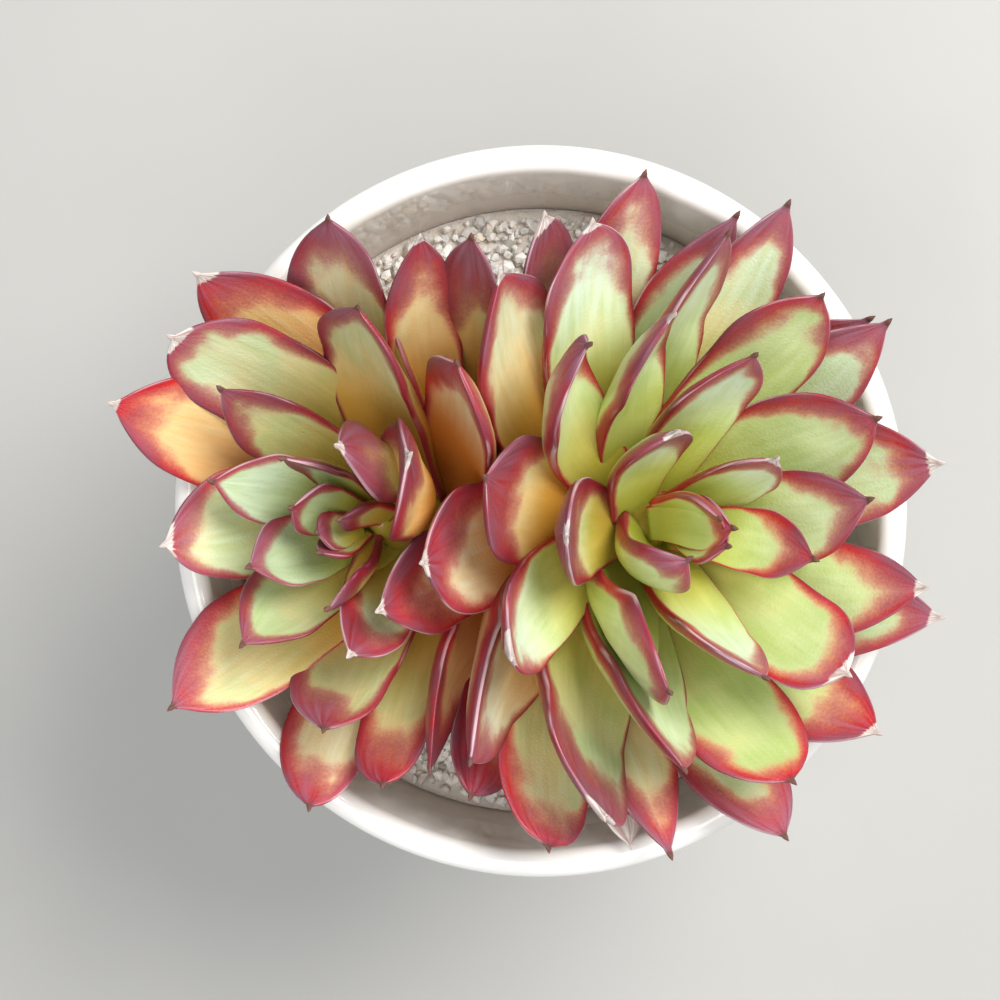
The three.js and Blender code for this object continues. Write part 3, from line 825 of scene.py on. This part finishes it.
# Points of a cubic curve from start to end, pulled by two handles, and the way ahead at each
def curve(part, start, startHandle, endHandle, end):
    rest = 1 - part
    line = rest ** 3 * start + 3 * rest ** 2 * part * startHandle
    line += 3 * rest * part ** 2 * endHandle + part ** 3 * end
    pull = rest ** 2 * (startHandle - start) + 2 * rest * part * (endHandle - startHandle)
    return line, unit(pull + part ** 2 * (end - endHandle))


# A leaf's middle line: a cubic curve, bowed at the root and hooked at the tip, its handles a third of the
# way in. With it go the ways across the leaf and out of its face, rolled about it
def leafSpine(leaf, head):
    shape = leafShape
    tip = tipPlace(leaf)
    root = leafRoot(leaf, head, tip)
    collar, bud, axis = headAxis(head)
    length = np.linalg.norm(tip - root)
    forward = (tip - root) / length
    face = collar + axis * shape.faceAim - (root + tip) / 2
    face = unit(face - forward * (face @ forward))
    across = np.cross(forward, face)
    bow = math.radians(leaf.get("bow", shape.bow))
    hook = math.radians(leaf.get("hook", shape.hook))
    sweep = across * length / 3 * math.tan(math.radians(leaf.get("swing", 0)))
    rootHandle = root + sweep + length / 3 * (forward * math.cos(bow) - face * math.sin(bow))
    tipHandle = tip + sweep - length / 3 * (forward * math.cos(hook) + face * math.sin(hook))
    along = np.linspace(0, 1, shape.rings) ** shape.crowding
    line, ahead = curve(along[:, None], root, rootHandle, tipHandle, tip)
    outward = np.cross(across, ahead)
    turn = math.radians(leaf.get("roll", 0)) * np.clip(along / shape.turned, 0, 1) ** shape.turnCurve
    turn = turn[:, None]
    wide = across * np.cos(turn) + outward * np.sin(turn)
    up = outward * np.cos(turn) - across * np.sin(turn)
    ends = Values(root=root, tip=tip, ahead=ahead[-1])
    return Values(length=length, along=along, line=line, wide=wide, up=up, **ends)


# A leaf's section at every ring: half its width, waved at the margins, and its height. The face is a
# parabola, the back goes from half an ellipse to a keel, and both meet in a rounded margin
def leafSection(leaf, along, side, backness, number):
    shape = leafShape
    random = np.random.default_rng(number)
    beat = random.uniform(0, fullTurn, (2, 2))
    slow, quick = np.where(side > 0, beat[0][:, None], beat[1][:, None])
    slowWaves, quickWaves = shape.waves
    part = along[:, None]
    wave = np.sin(part * slowWaves + slow) + shape.quickShare * np.sin(part * quickWaves + quick)
    wave = shape.wave * wave * smoothStep(part, *shape.waveRise) * np.abs(side) ** shape.waveCurve
    half = outline(leaf, along)[:, None] * (1 + wave)
    deep = leaf.width * shape.belly * (1 - part ** shape.bellyCurve)
    deep = np.maximum(deep * np.minimum(1, shape.bellyRoot + part), shape.tipHalf)
    keel = (part - shape.keelStart) / (shape.keelEnd - shape.keelStart)
    keel = shape.keel * np.clip(keel, 0, 1)
    dip = leaf.width * shape.channel * np.sin(math.pi * part) - shape.channelRise * half
    rounded = np.sqrt(np.clip(1 - np.abs(side) ** shape.marginCurve, 0, 1))
    margin = shape.margin * np.minimum(1, half / shape.marginFull) * rounded
    face = -dip * (1 - side ** 2) + margin
    back = -deep * ((1 - keel) * np.sqrt(1 - side ** 2) + keel * (1 - np.abs(side))) - margin
    return half, np.where(backness == 0, face, np.where(backness == 1, back, 0))


# What the paint needs. inset: mm from the margin. along: 0 at the root, 1 at the tip. toTip: mm from it.
# sunny: how far a margin lies to the redder side. backness: 0 on the face, 1 on the back. place: mm across
# and along, and a number of its own for each leaf and side
def leafFields(leaf, spine, half, side, backness, number):
    shape = leafShape
    beyond = np.array(shape.point)[:, 0]
    inset = np.concatenate((half * (1 - np.abs(side)), np.zeros((len(beyond), len(side)))))
    along = np.concatenate((spine.along, 1 + beyond / shape.usualLength))
    along = np.broadcast_to(along[:, None], inset.shape)
    sunny = np.zeros(inset.shape)
    sunny[: len(half)] = (spine.wide @ unit(np.array(shape.redSide, float)))[:, None] * side
    across = side * leaf.width / 2
    place = np.broadcast_arrays(across, along * spine.length, number + 0.5 * backness)
    fields = {"inset": inset, "along": along, "toTip": (1 - along) * spine.length, "sunny": sunny}
    fields.update(backness=np.broadcast_to(backness, inset.shape), place=np.stack(place, -1))
    # warmer leftward: partly the leaves' own amber, partly painted glow of light through leaves on the
    # shaded left
    warmth = float(np.clip((shape.warmStart - leaf.tip[0]) / shape.warmLength, 0, 1))
    for key, usual in {**leafLook, "warm": warmth}.items():
        fields[key] = np.full(inset.shape, float(leaf.get(key, usual)))
    return fields


# One leaf: its section carried along its middle line, then flat rings that narrow to a point. Poles take
# the fields of the nearest ring's point
def growLeaf(leaf, head, number):
    shape = leafShape
    spine = leafSpine(leaf, head)
    angle = -np.linspace(0, fullTurn, shape.sides, endpoint=False)
    side = np.cos(angle)
    rise = np.sin(angle)
    digits = 9  # enough to make the margins' sine 0
    backness = (1 - np.sign(np.round(rise, digits))) / 2
    half, height = leafSection(leaf, spine.along, side, backness, number)
    wide = spine.wide[:, None]
    up = spine.up[:, None]
    rings = spine.line[:, None] + wide * (half * side)[..., None] + up * height[..., None]
    beyond, thin = np.array(shape.point).T
    flat = np.stack((side, rise), -1) * thin[:, None, None]
    pointRings = spine.tip + spine.ahead * beyond[:, None, None]
    pointRings = pointRings + wide[-1] * flat[..., :1] + up[-1] * flat[..., 1:]
    lastPole = spine.tip + spine.ahead * (beyond[-1] + shape.pointEnd)
    points = tubePoints(np.concatenate((rings, pointRings)), spine.root, lastPole)
    fields = {}
    for key, values in leafFields(leaf, spine, half, side, backness, number).items():
        values = values.reshape(-1, *values.shape[2:])
        fields[key] = np.concatenate((values, values[:1], values[-1:]))
    return points, fields


# A stem: rings along its axis, upright below the collar, with the bud's small cone at its top
def growStem(head):
    shape = stemShape
    collar, bud, axis = headAxis(head)
    at = np.linspace(0, shape.shown, shape.rings)
    low = np.array((*collar[:2], shape.bottom))
    bend = collar - (0, 0, shape.bend)
    centres = np.concatenate((low[None], bend[None], collar + (bud - collar) * at[:, None]))
    cone = np.clip((at - shape.budFrom) / shape.budLength, 0, 1)
    radius = stemWidth(at) * (1 - (1 - shape.budTop) * cone)
    radius = np.concatenate(((shape.radius, shape.radius), radius))
    ahead = np.concatenate((((0, 0, 1), (0, 0, 1)), np.broadcast_to(axis, (len(at), 3))))
    east = unit(np.cross((0, 1, 0), ahead))
    north = np.cross(ahead, east)
    angle = np.linspace(0, fullTurn, shape.sides, endpoint=False)[:, None]
    spokes = east[:, None] * np.cos(angle) + north[:, None] * np.sin(angle)
    rings = centres[:, None] + spokes * radius[:, None, None]
    points = tubePoints(rings, low, centres[-1] + axis * shape.budPoint)
    return points, *tubeFaces(len(rings), shape.sides)


# A head's stem and leaves in one mesh, with what the paint needs on its points
def growHead(name, leaves, head, firstNumber):
    stem, stemQuads, stemFans = growStem(head)
    grown = [growLeaf(leaf, head, number) for number, leaf in enumerate(leaves, firstNumber)]
    points = np.concatenate((stem, *(leafPoints for leafPoints, fields in grown)))
    quads, fans = tubeFaces(leafShape.rings + len(leafShape.point), leafShape.sides)
    starts = np.arange(len(stem), len(points), len(grown[0][0]))[:, None, None]
    quads = np.concatenate((stemQuads, (quads + starts).reshape(-1, 4)))
    fans = np.concatenate((stemFans, (fans + starts).reshape(-1, 3)))
    piece = meshFrom(name, points * mm, quads, fans)
    for key in (*fieldNames, "place"):
        onStem = stem if key == "place" else np.full(len(stem), float(stemLook.get(key, 0)))
        store(piece, key, np.concatenate((onStem, *(fields[key] for leafPoints, fields in grown))))
    return piece


# Leaf colours and patterns. A span is where a pattern starts and ends. A blend is each pattern's share in
# a sum, then what is added to it
skinLook = Values(
    green=((162, 182, 78), (212, 226, 150)), dull=(122, 136, 84),
    # The warm pair on the next line is amber: partly the leaves' own tone, partly painted glow of light
    # passed through leaves
    warm=((232, 164, 66), (242, 204, 116)), root=((170, 164, 46), (200, 88, 24)),
    # On the next line, the first pair is painted shade for the very root, deep between leaves: olive on
    # green leaves, brown-red on warm ones
    depth=((104, 116, 24), (132, 46, 14)), bloom=(226, 246, 226),
    rose=((222, 124, 104), (146, 78, 74)), crimson=((198, 32, 38), (140, 20, 32)),
    # On the next line, the pale margin colour is a painted highlight along the margin, and the mauve is waxy
    # bloom with painted sheen on the red
    dusk=(114, 40, 52), mauve=(176, 130, 152), edge=(88, 18, 34), marginLine=(228, 208, 210),
    dry=((228, 222, 216), (172, 146, 140)), tip=(112, 74, 66),
    stretch=(0.9, 0.11, 1),  # of streaks, per mm across and along
    cloudSize=7, cloudSpan=(0.3, 0.7), fineSize=0.4, greenBlend=(0.5, 0.5), dullBlend=(0.4, 0.7),
    warmBlend=(0.4, 0.6), warmPatches=0.25, warmSpan=(0.1, 0.9),
    # The root colour reaches higher on warm leaves. It is the base's own yellower tone, deepened and warmed
    # as painted glow and painted shade low in the head
    rootRise=0.25,  # how much higher the root's colour reaches on a warm leaf
    rootSpan=(0.1, 0.6), rootShare=0.85, depthSpan=(0.02, 0.35), depthShare=0.6,
    # waxy bloom with painted sheen: where it lies along the leaf, its streaks, and how much less of it the
    # back has
    bloomSpan=(0.35, 0.8), bloomBlend=(0.9, 0.3),
    bloomLoss=0.5,  # on the back
    sunnyShare=0.75, spreadBlend=(0.6, 0.25, 0.5),
    reach=(0.3, 3.2),  # red inside the margin, at the root and at the tip
    reachSpan=(0.4, 0.97), leastReach=0.05, tipReach=0.9, redSpan=(-0.3, 2.3), blushSpan=(0, 0.2),
    crimsonBlend=(0.5, 0.4), duskBlend=(0.6, 0.5), roseSpan=(0, 0.5), roseShare=0.65,
    crimsonSpan=(0.12, 0.9), edgeReach=0.4, edgeSpan=(0.3, 0.6), edgeBlend=(0.4, 0.4),
    mauveSpan=(0.5, 1), mauveBlend=(0.25, 0.8, 0.35, 0.1),
    # painted highlight along the margin: its width, streaks and strength
    lineSpan=(0.02, 0.2), lineStreaks=(0.45, 0.6), lineBlend=(0.4, 0.2),
    dryBlend=(2.4, 1.2), dryFade=(0, 0.3), scabSpan=(0.3, 0.7), scabFrom=(0.05, 0.3),
    roughBlend=(0.08, 0.3, 0.1, 0.35, 0.3), grainSize=0.35, reliefBlend=(0.5, 0.8), relief=0.1,
)


# Green to amber flesh in clouds and streaks, the amber partly painted glow; root colours low on the leaf,
# partly painted glow and shade; painted shade lowest; waxy bloom with painted sheen high on it
def fleshColour(paint, skin):
    look = skinLook
    green = paint.mix(blend(look.greenBlend, skin.clouds, skin.streaks), *look.green)
    # greyer, darker green: partly the leaf's own tone, partly painted shade
    green = paint.mix(skin.dull * blend(look.dullBlend, skin.clouds), green, look.dull)
    amber = paint.mix(blend(look.warmBlend, skin.clouds, skin.streaks), *look.warm)
    # amber, partly painted glow of light passed through leaves
    warmth = skin.warm + (skin.clouds - 0.5) * look.warmPatches
    flesh = paint.mix(warmth.step(*look.warmSpan), green, amber)
    # root colours: the base's own yellower tone, partly painted glow and shade low in the head
    low = 1 - (skin.along - skin.warm * look.rootRise).step(*look.rootSpan)
    flesh = paint.mix(low * look.rootShare, flesh, paint.mix(skin.warm, *look.root))
    # painted shade at the very root, deep between leaves
    shadeMask = 1 - skin.along.step(*look.depthSpan)
    flesh = paint.mix(shadeMask * look.depthShare, flesh, paint.mix(skin.warm, *look.depth))
    return paint.mix(skin.bloom.lower(1), flesh, look.bloom)


# How red the leaf is, and its colour: rose, then crimson, then a dark edge. Red is strongest at margin and
# tip and ends over twice the reach away. The reach grows toward the tip and differs by leaf and patch
def redColour(paint, skin, flesh):
    look = skinLook
    stain = skin.blush * (1 + skin.backness * (skin.back - 1)) * (1 + skin.sunny * look.sunnyShare)
    spread = blend(look.spreadBlend, skin.clouds, skin.streaks - 0.5)
    low, high = look.reach
    reach = stain * spread * (skin.along.step(*look.reachSpan) * (high - low) + low)
    reach = reach.higher(look.leastReach)
    gap = skin.inset.lower(skin.toTip * look.tipReach / skin.end).higher(0)
    red = (1 - (gap / reach).step(*look.redSpan)) * skin.blushed
    red = red + (skin.fine - 0.5) * red * (1 - red)
    crimson = paint.mix(blend(look.crimsonBlend, skin.clouds, skin.fine), *look.crimson)
    crimson = paint.mix(skin.dusk * blend(look.duskBlend, skin.streaks), crimson, look.dusk)
    colour = paint.mix(red.step(*look.roseSpan) * look.roseShare, flesh, paint.mix(skin.dusk, *look.rose))
    colour = paint.mix(red.step(*look.crimsonSpan), colour, crimson)
    edge = (1 - (gap / (reach * look.edgeReach)).step(0, 1)) * skin.edged * stain.lower(1)
    edge = edge * blend(look.edgeBlend, skin.clouds) * skin.blushed
    return red, paint.mix(edge, colour, look.edge)


# Flesh, red, mauve bloom with painted sheen on the red, a fine painted highlight on the margin and a
# withered tip
def leafPaint():
    look = skinLook
    paint = Paint("leafSkin")
    skin = Values({name: paint.value(name) for name in fieldNames})
    place = paint.value("place", "Vector")
    streaks = paint.streaks(place, look.stretch)
    clouds = paint.noise(look.cloudSize).step(*look.cloudSpan)
    # waxy bloom with painted sheen, high on the leaf and less on the back
    bloom = skin.pale * skin.along.step(*look.bloomSpan) * blend(look.bloomBlend, streaks)
    bloom = bloom * (1 - skin.backness * look.bloomLoss)
    skin.update(streaks=streaks, clouds=clouds, fine=paint.noise(look.fineSize, 1), bloom=bloom)
    skin.update(blushed=skin.blush.step(*look.blushSpan), edged=skin.along.step(*look.edgeSpan))
    red, colour = redColour(paint, skin, fleshColour(paint, skin))

    # mauve: waxy bloom with painted sheen on the red, high on the leaf
    mauve = blend(look.mauveBlend, clouds, streaks - 0.5, bloom, skin.dusk).higher(0)
    mauve = skin.along.step(*look.mauveSpan) * red * mauve
    colour = paint.mix(mauve, colour, look.mauve)
    # painted highlight: a fine pale line along the margin, stronger on paler leaves
    line = (1 - skin.inset.step(*look.lineSpan)) * skin.edged * streaks.step(*look.lineStreaks)
    line = line * blend(look.lineBlend, skin.pale) * skin.blushed
    colour = paint.mix(line, colour, look.marginLine)
    dryReach = skin.dry * blend(look.dryBlend, streaks, clouds)
    withered = 1 - (skin.toTip - dryReach).step(*look.dryFade)
    scab = paint.mix(streaks.step(*look.scabSpan), *look.dry)
    colour = paint.mix(withered, colour, paint.mix(skin.dry.step(*look.scabFrom), look.tip, scab))
    roughness = blend(look.roughBlend, clouds, mauve, bloom, withered)
    relief = blend(look.reliefBlend, paint.noise(look.grainSize, 1), paint.streaks(place, look.stretch, 1))
    return paint.finish(Base_Color=colour, Roughness=roughness, Normal=paint.bump(relief, look.relief))


leafSkin = leafPaint()
rightHead = growHead("rightLeaves", rightLeaves, heads.right, 1)
dress(rightHead, leafSkin, "right_head")
leftHead = growHead("leftLeaves", leftLeaves, heads.left, 101)
dress(leftHead, leafSkin, "left_head")
print("leaves done,", len(rightHead.data.polygons), "and", len(leftHead.data.polygons), "faces")


# Floor and light, m, with the floor's clouds in mm
studio = Values(
    floorSize=1.6, floorTiles=8, floor=((180, 179, 176), (172, 171, 168), 60, 3),
    floorRoughness=(0.6, 0.1, 30),
    keyPlace=(0.34, 0.3, 0.7), keyPower=7.4,
    fillPlace=(-0.08, -0.22, 0.75), fillPower=2.6,
    lampSize=0.5,
    lampColour=(1.0, 0.985, 0.95),  # linear light
    aim=(0, 0, 0.09),
    skyColour=(236, 240, 246), skyStrength=0.54,
)


# A square floor of tiles at height 0, in faint clouds of two greys
def makeFloor():
    count = studio.floorTiles + 1
    steps = np.linspace(-0.5, 0.5, count) * studio.floorSize
    x, y = np.meshgrid(steps, steps, indexing="ij")
    points = np.stack((x, y, np.zeros_like(x)), -1).reshape(-1, 3)
    index = np.arange(count ** 2).reshape(count, count)
    quads = np.stack((index[:-1, :-1], index[1:, :-1], index[1:, 1:], index[:-1, 1:]), -1)
    floor = meshFrom("floor", points, quads)
    paint = Paint("paleFloor")
    colour = paint.clouds(*studio.floor)
    roughness = paint.rough(*studio.floorRoughness)
    floor.data.materials.append(paint.finish(Base_Color=colour, Roughness=roughness))
    floor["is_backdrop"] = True


# A round soft lamp turned toward the plant
def makeLamp(name, place, power):
    data = bpy.data.lights.new(name, "AREA")
    data.shape = "DISK"
    data.size = studio.lampSize
    data.energy = power
    data.color = studio.lampColour
    lamp = bpy.data.objects.new(name, data)
    lamp.location = place
    lamp.rotation_euler = (Vector(studio.aim) - lamp.location).to_track_quat("-Z", "Y").to_euler()
    bpy.context.scene.collection.objects.link(lamp)


# Two lamps, and an even pale sky
def makeLight():
    makeLamp("softWindow", studio.keyPlace, studio.keyPower)
    makeLamp("softFill", studio.fillPlace, studio.fillPower)
    world = bpy.data.worlds.new("paleRoom")
    world.use_nodes = True
    background = world.node_tree.nodes["Background"]
    background.inputs["Color"].default_value = (*tint(*studio.skyColour), 1)
    background.inputs["Strength"].default_value = studio.skyStrength
    bpy.context.scene.world = world


makeFloor()
makeLight()
bpy.context.scene.view_settings.view_transform = "Standard"
print("stage done")

dressedBox = [list(corner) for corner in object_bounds()]
for label, box in (("cad", cadBox), ("dressed", dressedBox)):
    print(label, "box, mm:", np.round(np.array(box) / mm, 1).tolist())
